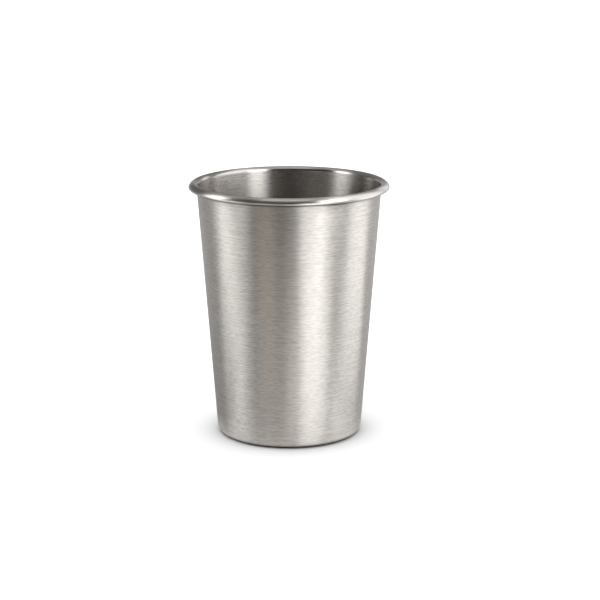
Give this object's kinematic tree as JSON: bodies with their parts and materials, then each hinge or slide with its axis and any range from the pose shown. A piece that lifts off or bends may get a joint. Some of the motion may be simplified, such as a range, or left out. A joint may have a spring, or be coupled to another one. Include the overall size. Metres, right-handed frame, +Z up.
{
  "type": "steel drinking cup",
  "caption": "Tapered drinking cup of thin brushed steel, open at the top, with a rim rolled outwards into a bead and a stepped base that stands on a flat ring.",
  "frame": {"origin": "centre of the plane that the cup stands on, on the cup's axis", "axes": "+Z up along the cup's axis, out of its mouth; the cup is round, so X and Y are free"},
  "size_m": [0.088, 0.088, 0.1125],
  "materials": {
    "polished_steel": "rolled edge, half polished",
    "brushed_steel": "brushed round the cup, inside and out",
    "base_steel": "brushed heel with a fine turned finish on the flat of the base"
  },
  "bodies": {
    "root": {"rolled_rim": "polished_steel", "tapered_wall": "brushed_steel", "base_pan": "base_steel"}
  },
  "joints": []
}
